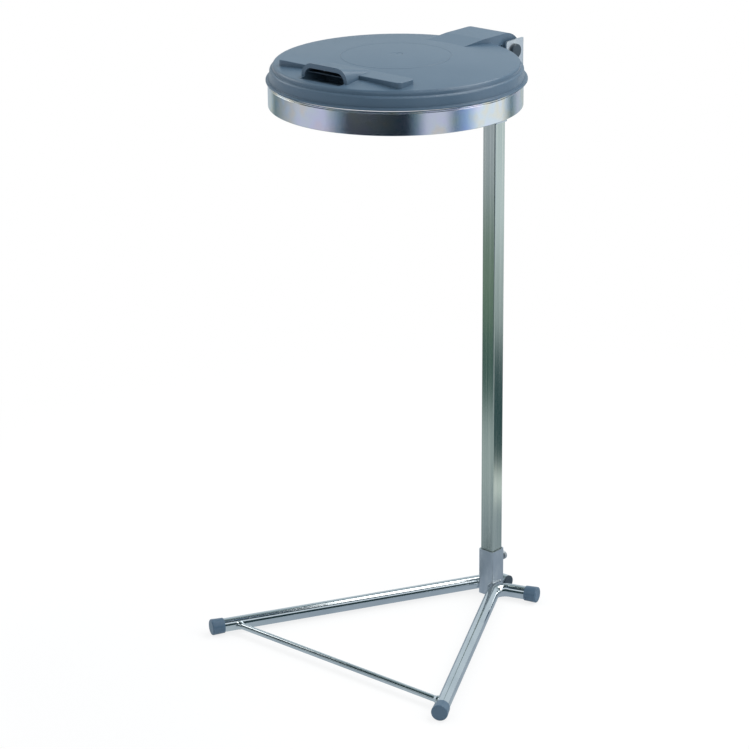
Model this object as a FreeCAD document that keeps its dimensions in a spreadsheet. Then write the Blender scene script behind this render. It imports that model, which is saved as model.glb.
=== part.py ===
import FreeCAD, Part
import math
import os
import Sketcher
from types import SimpleNamespace

from FreeCAD import Vector

# Refuse-sack holder stand: a tube base on three feet, a square post, a zinc ring for the sack's mouth and a
# hinged plastic lid. Millimetres, +Z up, +X to the right, the ring lies towards -Y.
# Origin: the post's axis on the floor.

doc = FreeCAD.newDocument("SackHolderStand")

# Driving sizes
SIZES = {
    "tube_diameter": 22.0,
    "tube_wall": 1.5,
    "weld_gap": 0.1,
    "fit_gap": 0.1,
    "foot_left_x": -241.0,
    "foot_left_y": -414.7,
    "foot_right_x": 228.9,
    "foot_right_y": -412.4,
    "foot_rear_x": 82.4,
    "foot_rear_y": 15.3,
    "left_corner_x": -6.9,
    "left_bend": 20.0,
    "left_end_x": 14.0,
    "right_corner_x": 13.5,
    "right_corner_y": -5.9,
    "right_bend": 22.0,
    "rod_diameter": 10.0,
    "rod_y": -381.6,
    "weld_collar": 14.0,
    "cap_diameter": 26.0,
    "cap_mouth_diameter": 24.6,
    "cap_depth": 18.0,
    "cap_end_wall": 3.0,
    "cap_edge": 2.5,
    "plug_flange": 3.0,
    "plug_depth": 12.0,
    "socket_side": 30.0,
    "socket_wall": 2.0,
    "socket_corner": 3.0,
    "socket_height": 79.0,
    "post_side": 25.0,
    "post_wall": 1.5,
    "post_corner": 2.0,
    "post_length": 865.8,
    "sleeve_length": 93.0,
    "sleeve_over_post": 7.0,
    "clamp_height": 56.0,
    "nut_across": 13.0,
    "nut_thickness": 6.5,
    "screw_diameter": 8.0,
    "screw_head": 5.3,
    "screw_length": 16.0,
    "ring_drop": 17.0,
    "ring_radius": 190.0,
    "ring_height": 33.0,
    "ring_wall": 2.0,
    "ring_reach": 236.8,
    "clamp_wall": 1.6,
    "clamp_lip": 2.2,
    "clamp_depth": 28.0,
    "sack_gap": 0.6,
    "bracket_sheet": 3.0,
    "bracket_half_width": 44.5,
    "bracket_depth": 30.0,
    "bracket_bend": 5.0,
    "ear_top": 17.6,
    "ear_front": 20.7,
    "ear_corner": 4.5,
    "ear_foot": 14.5,
    "web_drop": 10.1,
    "lid_reach": 234.2,
    "lid_clearance": 1.9,
    "lid_skin": 2.8,
    "lid_lip_radius": 194.6,
    "lid_lip": 2.8,
    "lid_wall_radius": 190.2,
    "lid_wall_draft": 1.8,
    "lid_step": 18.9,
    "lid_shoulder_radius": 184.8,
    "lid_shoulder": 26.4,
    "lid_shoulder_draft": 1.4,
    "lid_dome_radius": 178.5,
    "lid_dome_rise": 10.5,
    "rest_pad": 1.6,
    "rest_pad_width": 12.0,
    "pivot_back": 6.5,
    "pivot_rise": 6.8,
    "hump_half_width": 36.8,
    "hump_roof": 28.7,
    "hump_rear": 20.0,
    "hump_crease": 65.9,
    "hump_ramp": 3.4,
    "hump_ramp_length": 58.0,
    "hump_edge": 4.0,
    "hump_roof_bend": 40.0,
    "hump_rear_bend": 20.0,
    "cheek_wall": 2.8,
    "cheek_drop": 12.0,
    "boss_diameter": 16.0,
    "boss_gap": 0.3,
    "eye_diameter": 5.0,
    "eye_rim": 9.0,
    "eye_rim_height": 0.8,
    "eye_ahead": 25.1,
    "eye_rise": 10.2,
    "pin_diameter": 8.0,
    "pin_clearance": 0.1,
    "pin_cap_diameter": 22.0,
    "pin_cap_height": 4.5,
    "pin_cap_edge": 1.5,
    "strip_half_length": 118.0,
    "strip_rear": 97.0,
    "strip_width": 36.0,
    "strip_top": 36.4,
    "strip_edge": 1.2,
    "hood_front": 161.0,
    "hood_top": 49.4,
    "hood_half_width": 44.0,
    "hood_round": 20.0,
    "hood_rim": 6.0,
    "scoop_front": 173.0,
    "scoop_rear": 113.0,
    "scoop_floor": 13.0,
    "scoop_lip": 27.4,
    "gate_mark": 18.0,
}

sheet = doc.addObject("Spreadsheet::Sheet", "Sizes")
for row, (alias, number) in enumerate(SIZES.items(), start=1):
    sheet.set(f"A{row}", alias)
    sheet.set(f"B{row}", str(number))
    sheet.setAlias(f"B{row}", alias)
doc.recompute()


class Size:
    """A length as a number and as the formula that ties it to the sheet."""

    def __init__(self, number, formula):
        self.number = float(number)
        self.formula = formula

    def __add__(self, other):
        other = as_size(other)
        return Size(self.number + other.number, f"({self.formula} + {other.formula})")

    def __sub__(self, other):
        other = as_size(other)
        return Size(self.number - other.number, f"({self.formula} - {other.formula})")

    def __mul__(self, other):
        other = as_size(other)
        return Size(self.number * other.number, f"({self.formula} * {other.formula})")

    def __truediv__(self, other):
        other = as_size(other)
        return Size(self.number / other.number, f"({self.formula} / {other.formula})")

    def __neg__(self):
        return Size(-self.number, f"(0 - {self.formula})")

    def __radd__(self, other):
        return as_size(other) + self

    def __rsub__(self, other):
        return as_size(other) - self

    def __rmul__(self, other):
        return as_size(other) * self


def as_size(value):
    return value if isinstance(value, Size) else Size(value, repr(float(value)))


d = SimpleNamespace(**{alias: Size(sheet.get(alias), f"Sizes.{alias}") for alias in SIZES})


def bind(thing, prop, value):
    thing.setExpression(prop, as_size(value).formula)


def new_body(name):
    body = doc.addObject("PartDesign::Body", name)
    body.Label = name
    return body


def place(thing, x=0.0, y=0.0, z=0.0, axis=(0, 0, 1), angle="0"):
    """Puts an object at x, y, z, turned about the axis by the formula's degrees."""
    at = f"vector({as_size(x).formula}; {as_size(y).formula}; {as_size(z).formula})"
    turn = f"rotation(vector({axis[0]}; {axis[1]}; {axis[2]}); {angle})"
    thing.setExpression("Placement", f"placement({at}; {turn})")


def new_sketch(body, name, plane, offset=0.0):
    """A sketch on one of the body's own origin planes, moved along the plane's normal."""
    sketch = body.newObject("Sketcher::SketchObject", name)
    support = next(item for item in body.Origin.OriginFeatures if item.Role == plane)
    sketch.AttachmentSupport = [(support, "")]
    sketch.MapMode = "FlatFace"
    bind(sketch, "AttachmentOffset.Base.z", offset)
    return sketch


def fix(sketch, kind, *where, value):
    """A dimension of the sketch, bound to its size."""
    value = as_size(value)
    index = sketch.addConstraint(Sketcher.Constraint(kind, *where, value.number))
    sketch.setExpression(f"Constraints[{index}]", value.formula)


def fix_point(sketch, geometry, position, x, y):
    fix(sketch, "DistanceX", -1, 1, geometry, position, value=x)
    fix(sketch, "DistanceY", -1, 1, geometry, position, value=y)


def arc_ends(sketch, arc, start):
    """The arc's end numbers, the one that lies at start first."""
    if sketch.getPoint(arc, 1).distanceToPoint(start) < sketch.getPoint(arc, 2).distanceToPoint(start):
        return 1, 2
    return 2, 1


def add_run(sketch, corners, closed):
    """Lines through the corners (x, y) or (x, y, radius), rounded where a corner has a radius."""
    spots = [Vector(as_size(corner[0]).number, as_size(corner[1]).number, 0) for corner in corners]
    count = len(corners)
    entry = list(spots)
    leave = list(spots)
    middles = {}
    for index, corner in enumerate(corners):
        if len(corner) == 3:
            back = (spots[index - 1] - spots[index]).normalize()
            ahead = (spots[(index + 1) % count] - spots[index]).normalize()
            half_angle = back.getAngle(ahead) / 2
            radius = as_size(corner[2]).number
            entry[index] = spots[index] + back * (radius / math.tan(half_angle))
            leave[index] = spots[index] + ahead * (radius / math.tan(half_angle))
            inward = (back + ahead).normalize()
            middles[index] = spots[index] + inward * (radius / math.sin(half_angle) - radius)
    last = count if closed else count - 1
    lines = []
    for index in range(last):
        line = Part.LineSegment(leave[index], entry[(index + 1) % count])
        lines.append(sketch.addGeometry(line, False))
    for index, corner in enumerate(corners):
        before = lines[index - 1] if closed or index > 0 else None
        after = lines[index] if closed or index < last else None
        if index in middles:
            arc = sketch.addGeometry(Part.Arc(entry[index], middles[index], leave[index]), False)
            first, second = arc_ends(sketch, arc, entry[index])
            sketch.addConstraint(Sketcher.Constraint("Tangent", before, 2, arc, first))
            sketch.addConstraint(Sketcher.Constraint("Tangent", arc, second, after, 1))
            fix(sketch, "Radius", arc, value=corner[2])
            point = sketch.addGeometry(Part.Point(spots[index]), True)
            sketch.addConstraint(Sketcher.Constraint("PointOnObject", point, 1, before))
            sketch.addConstraint(Sketcher.Constraint("PointOnObject", point, 1, after))
            fix_point(sketch, point, 1, corner[0], corner[1])
        elif before is None:
            fix_point(sketch, after, 1, corner[0], corner[1])
        elif after is None:
            fix_point(sketch, before, 2, corner[0], corner[1])
        else:
            sketch.addConstraint(Sketcher.Constraint("Coincident", before, 2, after, 1))
            fix_point(sketch, after, 1, corner[0], corner[1])
    return lines


def outline(sketch, *corners):
    return add_run(sketch, corners, closed=True)


def rectangle(sketch, half_x, half_y, radius=None):
    """A rectangle about the sketch's origin."""
    rounded = () if radius is None else (radius,)
    outline(sketch, (-half_x, -half_y, *rounded), (half_x, -half_y, *rounded),
            (half_x, half_y, *rounded), (-half_x, half_y, *rounded))


def circle(sketch, diameter, x=0.0, y=0.0):
    x, y, diameter = as_size(x), as_size(y), as_size(diameter)
    shape = Part.Circle(Vector(x.number, y.number, 0), Vector(0, 0, 1), diameter.number / 2)
    index = sketch.addGeometry(shape, False)
    fix_point(sketch, index, 3, x, y)
    fix(sketch, "Diameter", index, value=diameter)


def extrude(body, kind, sketch, length, symmetric=False, reverse=False):
    """A pad or a pocket of the sketch."""
    feature = body.newObject(f"PartDesign::{kind}", f"{kind}_{sketch.Name}")
    feature.Profile = sketch
    feature.SideType = "Symmetric" if symmetric else "One side"
    feature.Reversed = reverse
    bind(feature, "Length", length)
    return feature


def turn(body, kind, sketch, axis="V_Axis"):
    """A revolution or a groove of the sketch about one of its axes."""
    feature = body.newObject(f"PartDesign::{kind}", f"{kind}_{sketch.Name}")
    feature.Profile = sketch
    feature.ReferenceAxis = (sketch, [axis])
    feature.Angle = 360
    return feature


def follow(body, kind, spine, section):
    """A pipe of the section along the spine sketch."""
    feature = body.newObject(f"PartDesign::{kind}", f"{kind}_{spine.Name}")
    feature.Profile = section
    edges = [f"Edge{number + 1}" for number in range(len(spine.Shape.Edges))]
    feature.Spine = (spine, edges)
    return feature


def join_sections(body, kind, sections):
    feature = body.newObject(f"PartDesign::{kind}", f"{kind}_{sections[0].Name}")
    feature.Profile = sections[0]
    feature.Sections = sections[1:]
    feature.Ruled = True
    return feature


def round_edges(body, radius, wanted):
    """Rounds the edges of the body's last feature whose middle point passes the test."""
    doc.recompute()
    base = body.Tip
    names = []
    for number, edge in enumerate(base.Shape.Edges, start=1):
        if wanted(edge.CenterOfMass, edge):
            names.append(f"Edge{number}")
    feature = body.newObject("PartDesign::Fillet", "Fillet_" + base.Name)
    feature.Base = (base, names)
    bind(feature, "Radius", radius)
    doc.recompute()
    return feature


# Heights along the stand
tube_z = d.cap_diameter / 2
post_bottom = tube_z + d.tube_diameter / 2 + 2 * d.fit_gap
post_top = post_bottom + d.post_length
sleeve_top = post_top + d.sleeve_over_post
ring_bottom = sleeve_top - d.ring_drop
ring_top = ring_bottom + d.ring_height
lid_bottom = ring_top + d.clamp_lip + d.lid_clearance
pivot_z = lid_bottom + d.pivot_rise
web_top = pivot_z - d.web_drop


# Leg tubes
left_run_y = d.socket_side / 2 + d.tube_diameter / 2 + 3 * d.weld_gap


def leg_path(body, side):
    """The centre line of a leg tube, from its front foot round its bend."""
    spine = new_sketch(body, f"{body.Name}_{side}_path", "XY_Plane", tube_z)
    if side == "left":
        add_run(spine, [(d.foot_left_x, d.foot_left_y),
                        (d.left_corner_x, left_run_y, d.left_bend),
                        (d.left_end_x, left_run_y)], closed=False)
    else:
        add_run(spine, [(d.foot_right_x, d.foot_right_y),
                        (d.right_corner_x, d.right_corner_y, d.right_bend),
                        (d.foot_rear_x, d.foot_rear_y)], closed=False)
    doc.recompute()
    return spine


def leg_section(body, spine, name):
    """A sketch square to the leg's first edge at its start, that is at the foot."""
    section = body.newObject("Sketcher::SketchObject", name)
    section.AttachmentSupport = [(spine, "Edge1")]
    section.MapMode = "NormalToEdge"
    doc.recompute()
    return section


def make_leg(side):
    body = new_body(f"{side}_leg")
    spine = leg_path(body, side)
    section = leg_section(body, spine, f"{side}_leg_section")
    circle(section, d.tube_diameter)
    circle(section, d.tube_diameter - 2 * d.tube_wall)
    doc.recompute()
    follow(body, "AdditivePipe", spine, section)


def cut_round_leg(body, side, gap):
    """Cuts the room for a leg tube, a gap wider all round."""
    spine = leg_path(body, side)
    section = leg_section(body, spine, f"{body.Name}_{side}_room")
    circle(section, d.tube_diameter + 2 * gap)
    doc.recompute()
    follow(body, "SubtractivePipe", spine, section)


make_leg("left")
make_leg("right")


# Cross rod, with a flared weld collar at each leg
def leg_x(foot_x, foot_y, corner_x, corner_y):
    """Where a leg's straight run crosses the rod's line."""
    return foot_x + (corner_x - foot_x) * (d.rod_y - foot_y) / (corner_y - foot_y)


def make_cross_rod():
    body = new_body("cross_rod")
    left_x = leg_x(d.foot_left_x, d.foot_left_y, d.left_corner_x, left_run_y)
    right_x = leg_x(d.foot_right_x, d.foot_right_y, d.right_corner_x, d.right_corner_y)
    rod = d.rod_diameter / 2
    collar = d.weld_collar / 2
    reach = d.tube_diameter * 0.56
    flare = d.tube_diameter * 0.8
    profile = new_sketch(body, "cross_rod_profile", "XY_Plane")
    outline(profile, (left_x, 0.0), (right_x, 0.0), (right_x, collar), (right_x - reach, collar),
            (right_x - flare, rod), (left_x + flare, rod), (left_x + reach, collar), (left_x, collar))
    doc.recompute()
    turn(body, "Revolution", profile, "H_Axis")
    profile.setExpression("AttachmentOffset", None)
    bind(profile, "AttachmentOffset.Base.y", d.rod_y)
    bind(profile, "AttachmentOffset.Base.z", tube_z)
    doc.recompute()
    cut_round_leg(body, "left", d.weld_gap)
    cut_round_leg(body, "right", d.weld_gap)


make_cross_rod()


# Plastic caps on the three feet: a sleeve over the tube with a rounded end wall
def make_foot_cap(name, foot_x, foot_y, corner_x, corner_y):
    body = new_body(name)
    bore = d.tube_diameter / 2 + d.fit_gap
    profile = new_sketch(body, f"{name}_profile", "XZ_Plane")
    outline(profile, (0.0, -d.cap_end_wall), (0.0, -d.fit_gap), (bore, -d.fit_gap), (bore, d.cap_depth),
            (d.cap_mouth_diameter / 2, d.cap_depth), (d.cap_diameter / 2, 0.0),
            (d.cap_diameter / 2, -d.cap_end_wall, d.cap_edge))
    doc.recompute()
    turn(body, "Revolution", profile)
    run = f"vector({(corner_x - foot_x).formula}; {(corner_y - foot_y).formula}; 0)"
    at = f"vector({foot_x.formula}; {foot_y.formula}; {tube_z.formula})"
    body.setExpression("Placement", f"placement({at}; rotation(vector(0; 0; 1); {run}))")


make_foot_cap("foot_cap_front_left", d.foot_left_x, d.foot_left_y, d.left_corner_x, left_run_y)
make_foot_cap("foot_cap_front_right", d.foot_right_x, d.foot_right_y, d.right_corner_x, d.right_corner_y)
make_foot_cap("foot_cap_rear", d.foot_rear_x, d.foot_rear_y, d.right_corner_x, d.right_corner_y)


# Plug in the left leg's short end behind the socket
def make_leg_plug():
    body = new_body("leg_end_plug")
    shank = d.tube_diameter / 2 - d.tube_wall - d.fit_gap
    profile = new_sketch(body, "leg_end_plug_profile", "XZ_Plane")
    outline(profile, (0.0, -d.plug_depth), (shank, -d.plug_depth), (shank, d.fit_gap),
            (d.tube_diameter / 2, d.fit_gap), (d.tube_diameter / 2, d.plug_flange, 1.0), (0.0, d.plug_flange))
    doc.recompute()
    turn(body, "Revolution", profile)
    place(body, d.left_end_x, left_run_y, tube_z, axis=(0, 1, 0), angle="90")


make_leg_plug()


# Square tubes: base socket, post and top sleeve
def make_square_tube(name, side, wall, corner, bottom, length):
    body = new_body(name)
    outer = new_sketch(body, f"{name}_outside", "XY_Plane", bottom)
    rectangle(outer, side / 2, side / 2, corner)
    doc.recompute()
    extrude(body, "Pad", outer, length)
    inner = new_sketch(body, f"{name}_inside", "XY_Plane", bottom)
    rectangle(inner, side / 2 - wall, side / 2 - wall, corner * 0.3)
    doc.recompute()
    extrude(body, "Pocket", inner, length, reverse=True)
    doc.recompute()
    return body


def drill_clamp_hole(body, height):
    """The clamp screw's hole in the rear wall."""
    hole = new_sketch(body, f"{body.Name}_hole", "XZ_Plane")
    circle(hole, d.screw_diameter + 1.0, 0.0, height)
    doc.recompute()
    extrude(body, "Pocket", hole, d.socket_side, reverse=False)


lower_clamp_z = d.clamp_height
upper_clamp_z = sleeve_top - d.sleeve_length + (d.socket_height - d.clamp_height)
base_socket = make_square_tube("base_socket", d.socket_side, d.socket_wall, d.socket_corner, 0.0, d.socket_height)
cut_round_leg(base_socket, "left", d.weld_gap)
cut_round_leg(base_socket, "right", d.weld_gap)
drill_clamp_hole(base_socket, lower_clamp_z)
make_square_tube("post", d.post_side, d.post_wall, d.post_corner, post_bottom, d.post_length)
top_sleeve = make_square_tube("top_sleeve", d.socket_side, d.socket_wall, d.socket_corner,
                              sleeve_top - d.sleeve_length, d.sleeve_length)
drill_clamp_hole(top_sleeve, upper_clamp_z)


# Weld nut and clamp screw on the rear of a socket; the screw's tip presses on the post
def make_clamp(level, height):
    nut = new_body(f"weld_nut_{level}")
    hexagon = new_sketch(nut, f"weld_nut_{level}_outline", "XY_Plane")
    circle(hexagon, d.nut_across * 1.1)
    circle(hexagon, d.screw_diameter + 2 * d.fit_gap)
    doc.recompute()
    extrude(nut, "Pad", hexagon, d.nut_thickness)
    place(nut, 0.0, d.socket_side / 2, height, axis=(1, 0, 0), angle="-90")
    screw = new_body(f"clamp_screw_{level}")
    profile = new_sketch(screw, f"clamp_screw_{level}_profile", "XZ_Plane")
    shank = d.screw_diameter / 2
    head = d.nut_across * 0.55
    end = d.screw_length + d.screw_head
    outline(profile, (0.0, 0.0), (shank, 0.0), (shank, d.screw_length), (head, d.screw_length),
            (head, end, 1.0), (0.0, end))
    doc.recompute()
    turn(screw, "Revolution", profile)
    place(screw, 0.0, d.post_side / 2 + d.fit_gap, height, axis=(1, 0, 0), angle="-90")


make_clamp("lower", lower_clamp_z)
make_clamp("upper", upper_clamp_z)


# Support ring: a flat zinc band with rounded edges
def make_support_ring():
    body = new_body("support_ring")
    profile = new_sketch(body, "support_ring_profile", "XZ_Plane")
    inside = d.ring_radius - d.ring_wall
    edge = d.ring_wall * 0.4
    outline(profile, (inside, 0.0, edge), (d.ring_radius, 0.0, edge), (d.ring_radius, d.ring_height, edge),
            (inside, d.ring_height, edge))
    doc.recompute()
    turn(body, "Revolution", profile)
    place(body, 0.0, -d.ring_reach, ring_bottom)


# Clamp ring: lies inside the band, holds the sack's mouth, its turned lip rests on the band's edge
def make_clamp_ring():
    body = new_body("clamp_ring")
    profile = new_sketch(body, "clamp_ring_profile", "XZ_Plane")
    outside = d.ring_radius - d.ring_wall - d.sack_gap
    inside = outside - d.clamp_wall
    lip = d.ring_radius - d.ring_wall * 0.3
    bottom = d.ring_height - d.clamp_depth
    seat = d.ring_height + d.fit_gap
    top = d.ring_height + d.clamp_lip
    outline(profile, (inside, bottom), (outside, bottom), (outside, seat), (lip, seat, 0.6),
            (lip, top, 0.8), (inside, top, 0.8))
    doc.recompute()
    turn(body, "Revolution", profile)
    place(body, 0.0, -d.ring_reach, ring_bottom)


make_support_ring()
make_clamp_ring()


# Ring bracket: a U of folded sheet on the sleeve, its side plates carry the ring and end in the hinge's ears
def make_ring_bracket():
    body = new_body("ring_bracket")
    rear = d.socket_side / 2 + d.bracket_sheet
    ear_y = d.pivot_back + d.ear_front
    ear_z = pivot_z + d.ear_top
    foot_z = pivot_z - d.ear_foot
    tip_y = d.ring_reach - d.ring_radius + d.bracket_half_width * 0.3
    bottom = ring_bottom - d.bracket_depth
    side = new_sketch(body, "ring_bracket_side", "YZ_Plane")
    outline(side, (rear, bottom), (rear, ear_z), (-ear_y, ear_z, d.ear_corner),
            (-ear_y, foot_z, d.ear_corner * 0.5), (-tip_y, foot_z - d.ear_corner),
            (-tip_y, ring_bottom + d.bracket_sheet), (0.0 - d.socket_side / 2, bottom))
    doc.recompute()
    extrude(body, "Pad", side, 2 * d.bracket_half_width, symmetric=True)

    def rear_corner(middle, edge):
        return edge.BoundBox.ZLength > 10 and edge.BoundBox.XLength < 0.01 and abs(middle.y - rear.number) < 0.1

    round_edges(body, d.bracket_bend, rear_corner)
    room = new_sketch(body, "ring_bracket_room", "XY_Plane", bottom)
    half_room = d.bracket_half_width - d.bracket_sheet
    bend = d.bracket_bend - d.bracket_sheet
    outline(room, (-half_room, -2 * tip_y), (half_room, -2 * tip_y), (half_room, d.socket_side / 2, bend),
            (-half_room, d.socket_side / 2, bend))
    doc.recompute()
    extrude(body, "Pocket", room, ear_z - bottom, reverse=True)
    above_web = new_sketch(body, "ring_bracket_web_top", "XZ_Plane")
    outline(above_web, (-half_room, web_top), (half_room, web_top), (half_room, ear_z + d.bracket_sheet),
            (-half_room, ear_z + d.bracket_sheet))
    doc.recompute()
    extrude(body, "Pocket", above_web, 2 * rear, symmetric=True)
    seat = new_sketch(body, "ring_bracket_ring_seat", "XY_Plane", bottom)
    circle(seat, 2 * (d.ring_radius + d.weld_gap), 0.0, -d.ring_reach)
    doc.recompute()
    extrude(body, "Pocket", seat, ear_z - bottom, reverse=True)
    pin_hole = new_sketch(body, "ring_bracket_pin_hole", "YZ_Plane")
    circle(pin_hole, d.pin_diameter + 2 * d.fit_gap, -d.pivot_back, pivot_z)
    doc.recompute()
    extrude(body, "Pocket", pin_hole, 3 * d.bracket_half_width, symmetric=True)

    corner = new_sketch(body, "ring_bracket_ear_corner", "YZ_Plane")
    past = 2 * d.ear_corner
    outline(corner, (rear, ear_z - past), (rear, ear_z, d.ear_corner), (rear - past, ear_z),
            (rear - past, ear_z + past), (rear + past, ear_z + past), (rear + past, ear_z - past))
    doc.recompute()
    extrude(body, "Pocket", corner, 3 * d.bracket_half_width, symmetric=True)


make_ring_bracket()


# Hinge pin and its plastic caps
def make_hinge_pin():
    body = new_body("hinge_pin")
    rod = new_sketch(body, "hinge_pin_section", "XY_Plane")
    circle(rod, d.pin_diameter)
    doc.recompute()
    extrude(body, "Pad", rod, 2 * (d.bracket_half_width + d.pin_cap_height * 0.6), symmetric=True)
    place(body, 0.0, -d.pivot_back, pivot_z, axis=(0, 1, 0), angle="90")


def make_pin_cap(name, side):
    body = new_body(name)
    profile = new_sketch(body, f"{name}_profile", "XZ_Plane")
    bore = d.pin_diameter / 2 + d.fit_gap
    depth = d.pin_cap_height * 0.65
    outline(profile, (0.0, depth), (bore, depth), (bore, d.fit_gap), (d.pin_cap_diameter / 2, d.fit_gap),
            (d.pin_cap_diameter / 2, d.pin_cap_height, d.pin_cap_edge), (0.0, d.pin_cap_height))
    doc.recompute()
    turn(body, "Revolution", profile)
    place(body, side * d.bracket_half_width, -d.pivot_back, pivot_z, axis=(0, side, 0), angle="90")


make_hinge_pin()
make_pin_cap("pin_cap_left", -1)
make_pin_cap("pin_cap_right", 1)


# Lid: its own frame has the dome's axis and the lip's underside at zero
def lid_y(distance):
    """A place along the lid, given as the distance behind the post's axis."""
    return d.lid_reach + distance


def lid_profile(sketch, edge_corners, crown):
    """Half a section of the lid: straight and rounded edge, then the flat arc of the dome to the axis."""
    lines = add_run(sketch, [(0.0, edge_corners[0][1]), *edge_corners], closed=False)
    rim = sketch.getPoint(lines[-1], 2)
    top = Vector(0, crown.number, 0)
    rise = top.y - rim.y
    radius = (rim.x ** 2 + rise ** 2) / (2 * rise)
    centre = Vector(0, top.y - radius, 0)
    half = math.asin(rim.x / radius) / 2
    middle = centre + Vector(radius * math.sin(half), radius * math.cos(half), 0)
    arc = sketch.addGeometry(Part.Arc(rim, middle, top), False)
    at_rim, at_top = arc_ends(sketch, arc, rim)
    axis = sketch.addGeometry(Part.LineSegment(top, sketch.getPoint(lines[0], 1)), False)
    sketch.addConstraint(Sketcher.Constraint("Coincident", lines[-1], 2, arc, at_rim))
    sketch.addConstraint(Sketcher.Constraint("PointOnObject", arc, 3, -2))
    sketch.addConstraint(Sketcher.Constraint("Coincident", arc, at_top, axis, 1))
    sketch.addConstraint(Sketcher.Constraint("Coincident", axis, 2, lines[0], 1))
    fix_point(sketch, axis, 1, 0.0, crown)


def hump_profile(sketch, wall, drop, front):
    """The hinge cover seen from the side, moved in by the wall."""
    roof = d.pivot_rise + d.hump_roof - wall
    rear = lid_y(d.hump_rear - d.pivot_back - wall)
    slope_y = d.hump_rear + d.hump_roof - d.hump_rear_bend * 1.58
    knee = d.hump_rear_bend * 0.9
    crease = lid_y(-d.hump_crease - d.pivot_back)
    ramp = lid_y(-d.hump_crease - d.pivot_back - d.hump_ramp_length)
    outline(sketch,
            (ramp, roof - d.hump_ramp),
            (crease, roof),
            (rear - knee, roof, d.hump_roof_bend - wall),
            (rear, roof - knee, d.hump_rear_bend - wall),
            (rear, d.pivot_rise - drop * 0.5),
            (rear - d.hump_rear * 0.6, d.pivot_rise - drop),
            (rear - d.hump_rear * 1.4, d.pivot_rise - drop),
            (lid_y(-d.pivot_back - front), 0.0),
            (lid_y(-d.pivot_back - front * 1.6), d.lid_step),
            (ramp, d.lid_step))


def arch(body, name, distance, half_width, bottom, top, top_round, bottom_round=None):
    """An arched section across the hood, at a distance in front of the lid's centre."""
    section = new_sketch(body, name, "XZ_Plane", distance)
    low = () if bottom_round is None else (bottom_round,)
    outline(section, (-half_width, bottom, *low), (half_width, bottom, *low),
            (half_width, top, top_round), (-half_width, top, top_round))
    doc.recompute()
    return section


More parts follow.
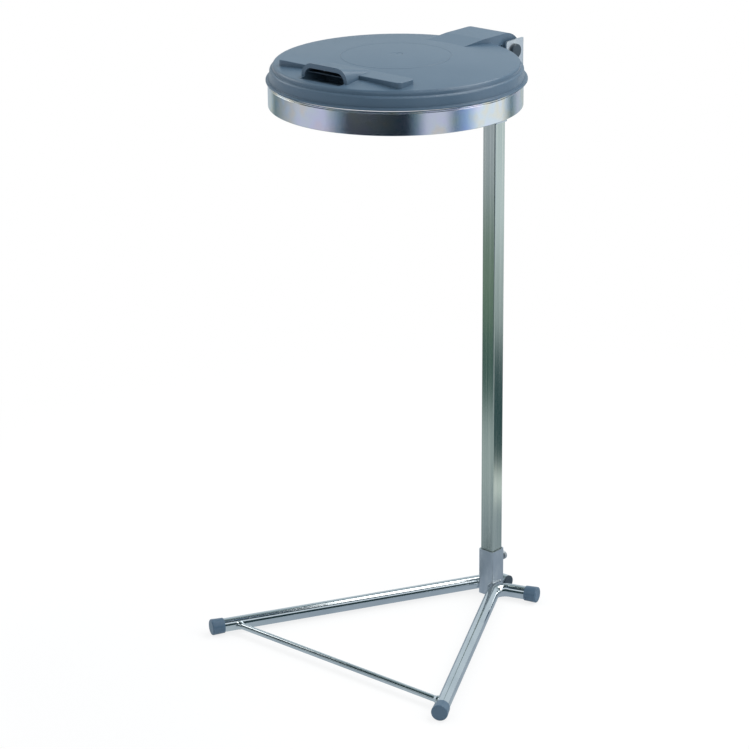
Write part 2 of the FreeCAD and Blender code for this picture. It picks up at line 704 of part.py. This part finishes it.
def make_lid():
    body = new_body("lid")
    skin = d.lid_skin
    wall_top = d.lid_wall_radius - d.lid_wall_draft
    shoulder_top = d.lid_shoulder_radius - d.lid_shoulder_draft
    edge = d.lid_shoulder
    crown = edge + d.lid_dome_rise + 0.5

    outside = new_sketch(body, "lid_outside", "XZ_Plane")
    lid_profile(outside, [(d.lid_lip_radius, 0.0, 0.8), (d.lid_lip_radius, d.lid_lip, 1.0),
                          (d.lid_wall_radius, d.lid_lip + 0.3, 0.8), (wall_top, d.lid_step, 3.0),
                          (d.lid_shoulder_radius, d.lid_step + 0.4, 0.6), (shoulder_top, edge, 4.5),
                          (d.lid_dome_radius, edge + 0.5)], crown)
    doc.recompute()
    turn(body, "Revolution", outside)

    hump = new_sketch(body, "lid_hump", "YZ_Plane")
    hump_profile(hump, as_size(0.0), d.cheek_drop, d.hump_rear * 1.9)
    doc.recompute()
    extrude(body, "Pad", hump, 2 * d.hump_half_width, symmetric=True)

    def hump_side_edge(middle, edge_shape):
        at_side = abs(abs(middle.x) - d.hump_half_width.number) < 0.05
        high = middle.z > d.pivot_rise.number + 6
        behind = middle.y > lid_y(-d.hump_crease - d.pivot_back - d.hump_ramp_length * 0.75).number
        on_roof = edge_shape.BoundBox.XLength < 0.01 and edge_shape.BoundBox.YLength > 3
        top_only = middle.z > d.pivot_rise.number + d.hump_roof.number - 22
        return at_side and high and behind and on_roof and top_only and on_hump_roof(middle)

    def on_hump_roof(middle):
        dome = edge.number + d.lid_dome_rise.number * (1 - (middle.y / d.lid_dome_radius.number) ** 2)
        return middle.y > d.lid_dome_radius.number or middle.z > dome + 1.0

    strip = new_sketch(body, "lid_strip", "XY_Plane", d.lid_step)
    strip_y = d.strip_rear + d.strip_width / 2
    outline(strip, (-d.strip_half_length, -d.strip_rear - d.strip_width, 8.0),
            (d.strip_half_length, -d.strip_rear - d.strip_width, 8.0),
            (d.strip_half_length, -d.strip_rear, 8.0), (-d.strip_half_length, -d.strip_rear, 8.0))
    doc.recompute()
    extrude(body, "Pad", strip, d.strip_top - d.lid_step)
    doc.recompute()

    def strip_top_edge(middle, edge_shape):
        level = edge_shape.BoundBox.ZLength < 0.01
        return level and abs(middle.z - d.strip_top.number) < 0.01

    round_edges(body, d.strip_edge, strip_top_edge)

    hood_rear = d.strip_rear + 2.0
    rear_arch = arch(body, "lid_hood_rear", hood_rear, d.hood_half_width - 2.0, d.lid_step, d.strip_top + 0.4, 8.0)
    front_arch = arch(body, "lid_hood_front", d.hood_front, d.hood_half_width, d.lid_step, d.hood_top,
                      d.hood_round)
    join_sections(body, "AdditiveLoft", [rear_arch, front_arch])
    doc.recompute()

    eye_rims = new_sketch(body, "lid_eye_rims", "YZ_Plane")
    circle(eye_rims, d.eye_rim, lid_y(-d.pivot_back - d.eye_ahead), d.pivot_rise + d.eye_rise)
    doc.recompute()
    extrude(body, "Pad", eye_rims, 2 * (d.hump_half_width + d.eye_rim_height), symmetric=True)
    bosses = new_sketch(body, "lid_bosses", "YZ_Plane")
    circle(bosses, d.boss_diameter, lid_y(-d.pivot_back), d.pivot_rise)
    doc.recompute()
    boss_reach = d.bracket_half_width - d.bracket_sheet - d.boss_gap
    extrude(body, "Pad", bosses, 2 * boss_reach, symmetric=True)
    doc.recompute()

    inside = new_sketch(body, "lid_inside", "XZ_Plane")
    lid_profile(inside, [(d.lid_wall_radius - skin, -2.0), (wall_top - skin, d.lid_step - skin, 1.5),
                         (d.lid_shoulder_radius - skin, d.lid_step - skin + 0.4, 0.6),
                         (shoulder_top - skin, edge - skin, 2.0),
                         (d.lid_dome_radius - skin, edge + 0.5 - skin)], crown - skin)
    doc.recompute()
    turn(body, "Groove", inside)
    doc.recompute()

    hollow = new_sketch(body, "lid_hump_hollow", "YZ_Plane")
    hump_profile(hollow, d.cheek_wall, 2 * d.cheek_drop, d.hump_rear * 2.2)
    doc.recompute()
    extrude(body, "Pocket", hollow, 2 * (d.hump_half_width - d.cheek_wall), symmetric=True)
    doc.recompute()

    scoop_wall = skin
    cup_front = arch(body, "lid_cup_front", d.scoop_front - 4.0, d.hood_half_width - d.hood_rim + scoop_wall,
                     d.scoop_lip - scoop_wall - 1.0, d.scoop_lip - 1.0, 0.5)
    cup_rear = arch(body, "lid_cup_rear", d.scoop_rear - scoop_wall,
                    d.hood_half_width - d.hood_rim + scoop_wall - 2.0,
                    d.scoop_floor - scoop_wall, d.scoop_floor + d.lid_step, 3.0, 3.0)
    join_sections(body, "AdditiveLoft", [cup_front, cup_rear])
    doc.recompute()
    scoop_top = d.hood_top - 5.0
    mouth = arch(body, "lid_scoop_mouth", d.scoop_front, d.hood_half_width - d.hood_rim, d.scoop_lip, scoop_top,
                 14.0, 1.0)
    root = arch(body, "lid_scoop_root", d.scoop_rear, d.hood_half_width - d.hood_rim - 2.0,
                d.scoop_floor, d.strip_top - 2.0, 8.0, 3.0)
    join_sections(body, "SubtractiveLoft", [mouth, root])
    doc.recompute()

    holes = new_sketch(body, "lid_pin_hole", "YZ_Plane")
    circle(holes, d.pin_diameter + 2 * d.pin_clearance, lid_y(-d.pivot_back), d.pivot_rise)
    circle(holes, d.eye_diameter, lid_y(-d.pivot_back - d.eye_ahead), d.pivot_rise + d.eye_rise)
    doc.recompute()
    extrude(body, "Pocket", holes, 4 * d.hump_half_width, symmetric=True)
    doc.recompute()

    pads = new_sketch(body, "lid_rest_pads", "XY_Plane")
    inner_edge = d.lid_wall_radius - skin - 1.0
    outline(pads, (inner_edge, -d.rest_pad_width / 2), (d.ring_radius, -d.rest_pad_width / 2),
            (d.ring_radius, d.rest_pad_width / 2), (inner_edge, d.rest_pad_width / 2))
    doc.recompute()
    pad = extrude(body, "Pad", pads, d.rest_pad, reverse=True)
    doc.recompute()
    place(body, 0.0, -d.lid_reach, lid_bottom)
    doc.recompute()


make_lid()
doc.recompute()


# Checks, then one file for each sub-part
bodies = [item for item in doc.Objects if item.TypeId == "PartDesign::Body"]
for item in doc.Objects:
    if "Invalid" in item.State or "Error" in item.State:
        raise RuntimeError(f"{item.Label} failed: {item.State}")
os.makedirs("parts", exist_ok=True)
for body in bodies:
    if body.Shape.isNull() or not body.Shape.isValid() or len(body.Shape.Solids) != 1:
        raise RuntimeError(f"{body.Label} has no single valid solid")
    body.Shape.exportStep(os.path.join("parts", f"{body.Label}.step"))
    print(body.Label, round(body.Shape.Volume), body.Shape.BoundBox)
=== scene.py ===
import math

import bpy
from mathutils import Matrix, Vector


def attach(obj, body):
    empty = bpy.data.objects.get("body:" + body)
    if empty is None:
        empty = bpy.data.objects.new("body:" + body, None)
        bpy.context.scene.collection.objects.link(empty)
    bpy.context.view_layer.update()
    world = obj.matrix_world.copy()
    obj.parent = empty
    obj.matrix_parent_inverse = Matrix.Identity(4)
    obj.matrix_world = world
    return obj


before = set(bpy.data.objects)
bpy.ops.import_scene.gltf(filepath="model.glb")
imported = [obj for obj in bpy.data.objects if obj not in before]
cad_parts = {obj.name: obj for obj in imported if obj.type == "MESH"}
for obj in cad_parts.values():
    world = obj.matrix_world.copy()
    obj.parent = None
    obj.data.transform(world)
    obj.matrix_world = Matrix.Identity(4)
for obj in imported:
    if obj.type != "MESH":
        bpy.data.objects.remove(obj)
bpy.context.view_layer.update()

# Floor: a wide white sheet that the stand is set down on. It fills the background, and round
# the feet it keeps the stand's soft shadow.
scene = bpy.context.scene
scene.view_settings.view_transform = "Standard"
WHITE = (1.0, 1.0, 1.0, 1.0)


class Shade:
    """A number, colour or vector socket of a material, or a plain number, that can be reckoned with."""

    def __init__(self, tree, socket):
        self.tree = tree
        self.socket = socket

    def node(self, kind, inputs, settings=None, output=0):
        """Adds a node, sets it up, fills its sockets and gives its output."""
        node = self.tree.nodes.new(kind)
        for name, value in (settings or {}).items():
            if name == "stops":
                fill_ramp(node.color_ramp, value)
            else:
                setattr(node, name, value)
        for name, value in inputs.items():
            self.fill(node.inputs[name], value)
        return Shade(self.tree, node.outputs[output])

    def fill(self, target, value):
        if isinstance(value, Shade):
            self.tree.links.new(value.socket, target)
        else:
            target.default_value = value

    def reckon(self, operation, first, second):
        return self.node("ShaderNodeMath", {0: first, 1: second}, {"operation": operation})

    def __add__(self, other):
        return self.reckon("ADD", self, other)

    def __radd__(self, other):
        return self.reckon("ADD", other, self)

    def __sub__(self, other):
        return self.reckon("SUBTRACT", self, other)

    def __rsub__(self, other):
        return self.reckon("SUBTRACT", other, self)

    def __mul__(self, other):
        return self.reckon("MULTIPLY", self, other)

    def __rmul__(self, other):
        return self.reckon("MULTIPLY", other, self)

    def __truediv__(self, other):
        return self.reckon("DIVIDE", self, other)

    def noise(self, vector, scale, detail=2.0, roughness=0.5):
        return self.node("ShaderNodeTexNoise", {"Vector": vector, "Scale": scale, "Detail": detail,
                                                "Roughness": roughness})

    def stretch(self, vector, scale):
        """The vector with each axis scaled, which draws a pattern out along the smallest."""
        return self.node("ShaderNodeMapping", {"Vector": vector, "Scale": scale})

    def step(self, value, low, high):
        """0 below low, 1 above high and smooth between."""
        return self.node("ShaderNodeMapRange", {"Value": value, "From Min": low, "From Max": high},
                         {"interpolation_type": "SMOOTHSTEP"})

    def blend(self, factor, first, second):
        """The first colour where the factor is 0 and the second where it is 1."""
        node = self.tree.nodes.new("ShaderNodeMix")
        node.data_type = "RGBA"
        self.fill(node.inputs[0], factor)
        self.fill(node.inputs[6], first)
        self.fill(node.inputs[7], second)
        return Shade(self.tree, node.outputs[2])

    def bump(self, height, strength, distance):
        return self.node("ShaderNodeBump", {"Height": height, "Strength": strength, "Distance": distance})


def new_finish(name):
    """A material with its surface shader, and the place on the object as a socket."""
    finish = bpy.data.materials.new(name)
    finish.use_nodes = True
    shader = finish.node_tree.nodes["Principled BSDF"]
    coordinates = finish.node_tree.nodes.new("ShaderNodeTexCoord")
    place = Shade(finish.node_tree, coordinates.outputs["Object"])
    return finish, shader, place


def lay_sheet(name, reach, height):
    """A square sheet laid flat, centred under the post."""
    sheet = bpy.data.meshes.new(name)
    sheet.from_pydata([(-reach, -reach, height), (reach, -reach, height), (reach, reach, height),
                       (-reach, reach, height)], [], [(0, 1, 2, 3)])
    laid = bpy.data.objects.new(name, sheet)
    scene.collection.objects.link(laid)
    return laid


floor_reach = 9.0
floor_drop = 0.0004
floor = lay_sheet("floor", floor_reach, -floor_drop)

shadow_reach = 0.7
white_reach = 1.3
shadow_share = 0.80
floor_finish, floor_shader, floor_place = new_finish("white_floor")
floor_shader.inputs["Base Color"].default_value = (0.86, 0.87, 0.88, 1.0)
floor_shader.inputs["Roughness"].default_value = 0.9
floor_shader.inputs["Specular IOR Level"].default_value = 0.0
floor_finish.cycles.emission_sampling = "NONE"
floor.data.materials.append(floor_finish)
light_path = floor_finish.node_tree.nodes.new("ShaderNodeLightPath")
camera_ray, glossy_ray, clear_ray = [Shade(floor_finish.node_tree, light_path.outputs[name])
                                     for name in ("Is Camera Ray", "Is Glossy Ray", "Is Transmission Ray")]
reach = floor_place.node("ShaderNodeVectorMath", {0: floor_place}, {"operation": "LENGTH"}, output=1)
seen_share = shadow_share + (1.0 - shadow_share) * floor_place.step(reach, shadow_reach, white_reach)
seen_white = (camera_ray + glossy_ray + clear_ray) * seen_share
white_light = floor_place.node("ShaderNodeEmission", {"Color": WHITE, "Strength": 1.0})
plain_floor = Shade(floor_finish.node_tree, floor_shader.outputs[0])
floor_mix = floor_place.node("ShaderNodeMixShader", {0: seen_white, 1: plain_floor, 2: white_light})
floor_place.fill(floor_finish.node_tree.nodes["Material Output"].inputs["Surface"], floor_mix)

# Mirror card: a glowing sheet laid on the floor round the stand, in patches of dark, grey and pale: painted
# reflections. It shows only in the zinc, which takes its bands from it, and casts no shadow.
card_size = 5.0
card_drop = 0.0002
card = lay_sheet("painted_reflection_card", card_size, -card_drop)
card.visible_camera = False
card.visible_diffuse = False
card.visible_shadow = False
card.visible_transmission = False
card_finish, _, card_place = new_finish("painted_reflection_card")
card_finish.cycles.emission_sampling = "NONE"
card.data.materials.append(card_finish)
card_reach = card_place.node("ShaderNodeVectorMath", {0: card_place}, {"operation": "LENGTH"}, output=1)
card_x = card_place.node("ShaderNodeSeparateXYZ", {"Vector": card_place}, output=0)
card_y = card_place.node("ShaderNodeSeparateXYZ", {"Vector": card_place}, output=1)
card_turn = card_x.reckon("ARCTAN2", card_x, 0.0 - card_y) * (180.0 / math.pi)


def fill_ramp(ramp, stops):
    """Sets a colour ramp to the stops, each a place and a colour."""
    while len(ramp.elements) > 1:
        ramp.elements.remove(ramp.elements[0])
    ramp.elements[0].position = stops[0][0]
    ramp.elements[0].color = stops[0][1]
    for position, colour in stops[1:]:
        ramp.elements.new(position).color = colour


def add_patch(tone, low, high, near, far, colour, soft_turn=10.0, soft_reach=0.12):
    """Lays a soft-edged patch of painted reflection on the card, between two turns from the front and two
    reaches.
    """
    sides = card_turn.step(card_turn, low - soft_turn, low + soft_turn)
    sides = sides * (1.0 - card_turn.step(card_turn, high - soft_turn, high + soft_turn))
    ends = card_turn.step(card_reach, near - soft_reach, near + soft_reach)
    ends = ends * (1.0 - card_turn.step(card_reach, far - soft_reach, far + soft_reach))
    return card_turn.blend(sides * ends, tone, colour)


# Six tones of painted reflection, set round the stand by turn, from the front left to the back
pale = (0.80, 0.88, 0.95, 1.0)
grey = (0.48, 0.55, 0.58, 1.0)
lilac = (0.55, 0.58, 0.68, 1.0)
blue = (0.25, 0.40, 0.65, 1.0)
dusk = (0.12, 0.20, 0.25, 1.0)
night = (0.0, 0.01, 0.02, 1.0)
painted_reflection_turns = [(-180, grey), (-104, grey), (-92, dusk), (-50, lilac), (-24, lilac), (-10, dusk), (-2, night),
         (48, night), (56, dusk), (64, lilac), (80, lilac), (90, dusk), (101, blue), (114, pale), (146, pale),
         (163, dusk), (180, grey)]
painted_reflection_tone = card_place.node("ShaderNodeValToRGB", {"Fac": card_turn / 360.0 + 0.5},
                            {"stops": [((turn + 180.0) / 360.0, colour) for turn, colour in painted_reflection_turns]})
# Nearer the feet: plain greys all round, then painted reflections: the two darker patches that the
# post mirrors, a bright strip that it shows as a painted highlight, and a dark patch in front.
round_edge = 400.0
painted_reflection_tone = add_patch(painted_reflection_tone, -round_edge, round_edge, -1.0, 1.9, grey)
painted_reflection_tone = add_patch(painted_reflection_tone, -round_edge, round_edge, -1.0, 0.42, (0.36, 0.42, 0.48, 1.0))
painted_reflection_tone = add_patch(painted_reflection_tone, -72.0, -10.0, 1.30, 2.25, (0.17, 0.26, 0.19, 1.0))
painted_reflection_tone = add_patch(painted_reflection_tone, -74.0, -8.0, 0.88, 1.34, (0.03, 0.10, 0.09, 1.0), soft_reach=0.08)
painted_reflection_tone = add_patch(painted_reflection_tone, 108.0, 170.0, 0.42, 0.56, (0.95, 1.0, 1.0, 1.0), soft_reach=0.04)
painted_reflection_tone = add_patch(painted_reflection_tone, 108.0, 170.0, 0.56, 1.28, (0.03, 0.08, 0.09, 1.0), soft_reach=0.05)
painted_reflection_tone = add_patch(painted_reflection_tone, -6.0, 50.0, 0.9, 2.1, (0.06, 0.10, 0.13, 1.0))
painted_reflection_glow = card_place.node("ShaderNodeEmission", {"Color": painted_reflection_tone, "Strength": 1.0})
card_place.fill(card_finish.node_tree.nodes["Material Output"].inputs["Surface"], painted_reflection_glow)

# Room and lamps: plain soft light from above and from both sides. In the reflections the room has
# a dark ceiling, a strip lamp and a pale far wall.
world = bpy.data.worlds.new("studio")
scene.world = world
world.use_nodes = True
backdrop = world.node_tree.nodes["Background"]
path = world.node_tree.nodes.new("ShaderNodeLightPath")
seen = Shade(world.node_tree, path.outputs["Is Camera Ray"])
mirrored = Shade(world.node_tree, path.outputs["Is Glossy Ray"])
sky_place = Shade(world.node_tree, world.node_tree.nodes.new("ShaderNodeTexCoord").outputs["Generated"])
sky_x = sky_place.node("ShaderNodeSeparateXYZ", {"Vector": sky_place}, output=0)
sky_y = sky_place.node("ShaderNodeSeparateXYZ", {"Vector": sky_place}, output=1)
sky_z = sky_place.node("ShaderNodeSeparateXYZ", {"Vector": sky_place}, output=2)
room_turn = math.radians(40.92)
forward = sky_x * math.sin(room_turn) - sky_y * math.cos(room_turn)
# Over the top, by angle, from the near side to the far side
ceiling = (0.015, 0.04, 0.045, 1.0)
far_wall = (0.58, 0.66, 0.71, 1.0)
over = [(0, ceiling), (36, ceiling), (45, pale), (55, pale), (64, ceiling), (104, ceiling),
        (122, (0.20, 0.27, 0.28, 1.0)), (150, far_wall), (180, far_wall)]
climb = sky_z.reckon("ARCTAN2", sky_z, forward) * (1.0 / math.pi)
mirror_room = seen.node("ShaderNodeValToRGB", {"Fac": climb},
                        {"stops": [(angle / 180.0, colour) for angle, colour in over]})
soft_room = seen.blend(seen.step(sky_z, -0.1, 0.9), (0.25, 0.28, 0.31, 1.0), (0.98, 1.0, 1.0, 1.0))
plain_room = seen.blend(mirrored, soft_room, mirror_room)
seen.fill(backdrop.inputs["Color"], seen.blend(seen, plain_room, WHITE))
backdrop.inputs["Strength"].default_value = 1.0


def polar(angle, reach, height):
    """A point round the post: the angle in degrees from the front to the right, the reach and the height."""
    return (reach * math.sin(math.radians(angle)), -reach * math.cos(math.radians(angle)), height)


def hang_lamp(name, place, target, width, depth, power):
    """A soft rectangular lamp that points at a target."""
    light = bpy.data.lights.new(name, "AREA")
    light.shape = "RECTANGLE"
    light.size = width
    light.size_y = depth
    light.energy = power
    lamp = bpy.data.objects.new(name, light)
    lamp.location = place
    aim = Vector(target) - Vector(place)
    lamp.rotation_euler = aim.to_track_quat("-Z", "Y").to_euler()
    scene.collection.objects.link(lamp)


middle = (0.0, -0.2, 0.6)
hang_lamp("top_lamp", polar(150, 1.6, 3.2), middle, 2.4, 1.6, 45.0)
hang_lamp("right_lamp", polar(110, 2.6, 1.9), middle, 1.4, 1.8, 22.0)
hang_lamp("left_lamp", polar(-75, 2.8, 2.0), middle, 1.4, 1.8, 16.0)

# Camera: a long lens, a little above the lid and to the right of the ring, tipped down so that
# the lid's top and all three feet are in view.
SIGHT = math.radians(40.9246)
DIP = math.radians(20.0024)
ROLL = math.radians(-0.5184)
LENS_MM = 130.707
SENSOR_MM = 36.0
EYE = Vector((2.5553, -3.2378, 1.8853))
back = Vector((math.sin(SIGHT) * math.cos(DIP), -math.cos(SIGHT) * math.cos(DIP), math.sin(DIP)))
level = Vector((math.cos(SIGHT), math.sin(SIGHT), 0.0))
upward = back.cross(level)
right = math.cos(ROLL) * level + math.sin(ROLL) * upward
top = -math.sin(ROLL) * level + math.cos(ROLL) * upward
camera_data = bpy.data.cameras.new("camera")
camera_data.lens = LENS_MM
camera_data.sensor_width = SENSOR_MM
camera = bpy.data.objects.new("camera", camera_data)
camera.matrix_world = Matrix.Translation(EYE) @ Matrix((right, top, back)).transposed().to_4x4()
scene.collection.objects.link(camera)
scene.camera = camera

# Leg tubes and cross rod: round steel tube bent cold, and a thin rod welded across near the front
# feet. They are bright zinc plated, a little cloudy from the bath.


def paint(finish, *names):
    """Gives the finish to CAD nodes by name."""
    for name in names:
        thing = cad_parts[name]
        for slot in thing.material_slots:
            slot.material = finish


tube_finish, tube_shader, tube_place = new_finish("bright_zinc")
tube_shader.inputs["Metallic"].default_value = 1.0
cloud = tube_place.noise(tube_place, 14.0, 4.0, 0.6)
tube_place.fill(tube_shader.inputs["Base Color"],
                tube_place.blend(tube_place.step(cloud, 0.35, 0.7), (0.66, 0.71, 0.74, 1.0),
                                 (0.78, 0.82, 0.84, 1.0)))
tube_place.fill(tube_shader.inputs["Roughness"], 0.07 + cloud * 0.10)
paint(tube_finish, "left_leg", "right_leg", "cross_rod")

# Socket, sleeve and bracket: square tube and folded sheet with satin zinc. The socket is welded
# between the leg tubes, and the sleeve carries the bracket at the top.
satin_finish, satin_shader, satin_place = new_finish("satin_zinc")
satin_shader.inputs["Metallic"].default_value = 1.0
satin_cloud = satin_place.noise(satin_place.stretch(satin_place, (60.0, 60.0, 26.0)), 1.0, 4.0, 0.62)
satin_place.fill(satin_shader.inputs["Base Color"],
                 satin_place.blend(satin_place.step(satin_cloud, 0.35, 0.70), (0.56, 0.61, 0.66, 1.0),
                                   (0.68, 0.72, 0.75, 1.0)))
satin_place.fill(satin_shader.inputs["Roughness"], 0.27 + satin_cloud * 0.12)
paint(satin_finish, "base_socket", "top_sleeve", "ring_bracket")

# Post: one length of square steel tube that stands in the socket. Its zinc is faintly green, with
# fine lines drawn along it.
post_finish, post_shader, post_place = new_finish("post_zinc")
post_shader.inputs["Metallic"].default_value = 1.0
post_streak = post_place.noise(post_place.stretch(post_place, (420.0, 420.0, 3.0)), 1.0, 3.0, 0.6)
post_place.fill(post_shader.inputs["Base Color"],
                post_place.blend(post_place.step(post_streak, 0.35, 0.68), (0.52, 0.58, 0.53, 1.0),
                                 (0.64, 0.68, 0.62, 1.0)))
post_place.fill(post_shader.inputs["Roughness"], 0.15 + post_streak * 0.10)
paint(post_finish, "post")

# Band and clamp ring: steel strip rolled round and closed, bright zinc plated, with the faint
# rainbow bloom of its last bath. The clamp ring holds the sack's mouth inside the band.
ring_finish, ring_shader, ring_place = new_finish("ring_zinc")
ring_shader.inputs["Metallic"].default_value = 1.0
bloom = ring_place.noise(ring_place, 16.0, 3.0, 0.55)
bloom_tone = ring_place.node("ShaderNodeValToRGB", {"Fac": bloom},
                             {"stops": [(0.30, (0.80, 0.74, 0.80, 1.0)), (0.42, (0.76, 0.77, 0.90, 1.0)),
                                        (0.52, (0.76, 0.81, 0.84, 1.0)), (0.60, (0.84, 0.80, 0.70, 1.0)),
                                        (0.70, (0.74, 0.80, 0.90, 1.0))]})
ring_place.fill(ring_shader.inputs["Base Color"], bloom_tone)
ring_shader.inputs["Roughness"].default_value = 0.15
paint(ring_finish, "support_ring", "clamp_ring")

# Foot caps: grey-blue plastic, moulded and pushed on over the ends of the leg tubes. The lid is of
# the same plastic.


def new_plastic(name):
    """The grey-blue plastic, a little cloudy in colour and gloss."""
    finish, shader, place = new_finish(name)
    cloud = place.noise(place, 9.0, 3.0, 0.55)
    place.fill(shader.inputs["Base Color"],
               place.blend(place.step(cloud, 0.3, 0.75), (0.070, 0.122, 0.182, 1.0),
                           (0.086, 0.140, 0.202, 1.0)))
    place.fill(shader.inputs["Roughness"], 0.26 + cloud * 0.10)
    return finish, shader, place


cap_finish, _, _ = new_plastic("grey_blue_plastic")
paint(cap_finish, "foot_cap_front_left", "foot_cap_front_right", "foot_cap_rear")

# Lid: one moulding in the same plastic, hung on the hinge pin. On its dome are the small round gate
# mark where the mould was filled and a faint circle round it, and all of it has a fine grain.
LID_MIDDLE = Vector((0.0, -0.2342, 0.0))
gate_radius = 0.010
pip_radius = 0.003
soft_edge = 0.0015
circle_radius = 0.0840
circle_width = 0.0020
dome_finish, dome_shader, dome_place = new_plastic("grey_blue_lid")
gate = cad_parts["lid"].matrix_world.inverted() @ LID_MIDDLE
gate_x = dome_place.node("ShaderNodeSeparateXYZ", {"Vector": dome_place}, output=0) - gate.x
gate_y = dome_place.node("ShaderNodeSeparateXYZ", {"Vector": dome_place}, output=1) - gate.y
gate_square = gate_x * gate_x + gate_y * gate_y
gate_reach = gate_square.reckon("POWER", gate_square, 0.5)
gate_disc = dome_place.step(gate_reach, gate_radius - soft_edge, gate_radius)
gate_pip = dome_place.step(gate_reach, pip_radius - soft_edge, pip_radius)
circle_out = dome_place.step(gate_reach, circle_radius - soft_edge, circle_radius)
circle_bore = circle_radius - circle_width
circle_in = dome_place.step(gate_reach, circle_bore - soft_edge, circle_bore)
grain = dome_place.noise(dome_place, 1400.0, 2.0, 0.6)
height = gate_disc * 0.5 + gate_pip * 0.5 + (circle_in - circle_out) * 0.35 + grain * 0.06
dome_place.fill(dome_shader.inputs["Normal"], dome_place.bump(height, 1.0, 0.0016))
paint(dome_finish, "lid")

# Scoop wall: the plastic shell of the finger pocket, part of the lid's moulding. It runs from just
# behind the hood's mouth down to the pocket's end, and closes it against the inside of the lid.
scoop_front = 0.156
scoop_end = 0.1126
front_half_width = 0.0380
end_half_width = 0.0360
front_heights = (0.9356, 0.9530)
end_heights = (0.9256, 0.9456)
shell_thickness = 0.0006
corner_round = 0.006
bpy.ops.object.select_all(action="DESELECT")
bpy.ops.mesh.primitive_cube_add(size=1.0)
scoop_wall = bpy.context.active_object
scoop_wall.name = "scoop_wall"
for corner in scoop_wall.data.vertices:
    ahead = corner.co.y < 0.0
    side = front_half_width if ahead else end_half_width
    low, high = front_heights if ahead else end_heights
    corner.co.x = math.copysign(side, corner.co.x)
    corner.co.z = low if corner.co.z < 0.0 else high
    corner.co.y = LID_MIDDLE.y - (scoop_front if ahead else scoop_end)
bpy.ops.object.mode_set(mode="EDIT")
bpy.ops.mesh.select_mode(type="FACE")
bpy.ops.mesh.select_all(action="DESELECT")
bpy.ops.object.mode_set(mode="OBJECT")
for face in scoop_wall.data.polygons:
    face.select = face.normal.y < -0.9
bpy.ops.object.mode_set(mode="EDIT")
bpy.ops.mesh.delete(type="FACE")
bpy.ops.mesh.select_mode(type="EDGE")
bpy.ops.mesh.select_all(action="DESELECT")
bpy.ops.object.mode_set(mode="OBJECT")
corners = scoop_wall.data.vertices
halfway = LID_MIDDLE.y - (scoop_front + scoop_end) / 2
for edge in scoop_wall.data.edges:
    first, second = [corners[i].co for i in edge.vertices]
    edge.select = first.y > halfway or second.y > halfway
bpy.ops.object.mode_set(mode="EDIT")
bpy.ops.mesh.bevel(offset=corner_round, segments=5)
bpy.ops.object.mode_set(mode="OBJECT")
wall = scoop_wall.modifiers.new("wall", "SOLIDIFY")
wall.thickness = shell_thickness
wall.offset = -1.0
bpy.ops.object.modifier_apply(modifier="wall")
bpy.ops.object.shade_smooth_by_angle(angle=math.radians(40.0))
scoop_wall.data.materials.clear()
scoop_wall.data.materials.append(cap_finish)
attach(scoop_wall, "lid")

# Weld beads: rows of overlapping drops where the leg tubes meet the socket. They were laid by hand
# before plating, so the zinc on them is duller and patchy.
drop_radius = 0.0022
bead_finish, bead_shader, bead_place = new_finish("weld_zinc")
bead_shader.inputs["Metallic"].default_value = 1.0
bead_cloud = bead_place.noise(bead_place, 260.0, 2.0, 0.6)
bead_place.fill(bead_shader.inputs["Base Color"],
                bead_place.blend(bead_place.step(bead_cloud, 0.35, 0.65), (0.34, 0.38, 0.41, 1.0),
                                 (0.58, 0.63, 0.66, 1.0)))
bead_shader.inputs["Roughness"].default_value = 0.32


def add_bead(name, run):
    """A row of overlapping drops along a run of points, in millimetres, as one piece."""
    bpy.ops.object.select_all(action="DESELECT")
    drops = []
    for start, stop in zip(run, run[1:]):
        for share in (0.0, 0.33, 0.67):
            spot = Vector(start).lerp(Vector(stop), share) * 0.001
            bpy.ops.mesh.primitive_uv_sphere_add(segments=14, ring_count=8, radius=drop_radius, location=spot)
            drops.append(bpy.context.active_object)
    for drop in drops:
        drop.select_set(True)
    bpy.context.view_layer.objects.active = drops[0]
    bpy.ops.object.join()
    bpy.ops.object.transform_apply(location=True, rotation=True, scale=True)
    bpy.ops.object.shade_smooth()
    bead = bpy.context.active_object
    bead.name = name
    bead.data.materials.clear()
    bead.data.materials.append(bead_finish)
    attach(bead, "stand")


add_bead("weld_bead_right", [(6.0, -15.3, 14.0), (8.0, -15.5, 19.5), (12.0, -15.5, 23.0), (15.5, -14.5, 24.2),
                             (15.8, -8.0, 24.3), (15.8, 0.0, 24.0), (15.6, 7.0, 22.0)])
add_bead("weld_bead_left", [(-15.6, -12.0, 14.5), (-15.6, -9.0, 19.0), (-15.6, -4.0, 21.7),
                            (-15.6, 2.0, 23.4), (-15.6, 8.0, 24.3), (-15.6, 14.0, 24.4)])
add_bead("weld_bead_rear", [(-8.0, 16.5, 18.5), (-1.0, 16.5, 18.5), (6.0, 16.5, 18.5)])

# End plug and pin caps: small dark plastic mouldings, pushed into the short tube end and on to the
# ends of the hinge pin.
dark_finish, dark_shader, _ = new_finish("dark_plastic")
dark_shader.inputs["Base Color"].default_value = (0.03, 0.05, 0.07, 1.0)
dark_shader.inputs["Roughness"].default_value = 0.45
paint(dark_finish, "leg_end_plug", "pin_cap_left", "pin_cap_right")

# Hinge pin, weld nuts and clamp screws: turned steel, zinc plated. The nuts are welded on, and the
# screws in them clamp the post.
screw_finish, screw_shader, _ = new_finish("screw_zinc")
screw_shader.inputs["Metallic"].default_value = 1.0
screw_shader.inputs["Base Color"].default_value = (0.6, 0.62, 0.64, 1.0)
screw_shader.inputs["Roughness"].default_value = 0.35
paint(screw_finish, "hinge_pin", "weld_nut_lower", "weld_nut_upper", "clamp_screw_lower", "clamp_screw_upper")
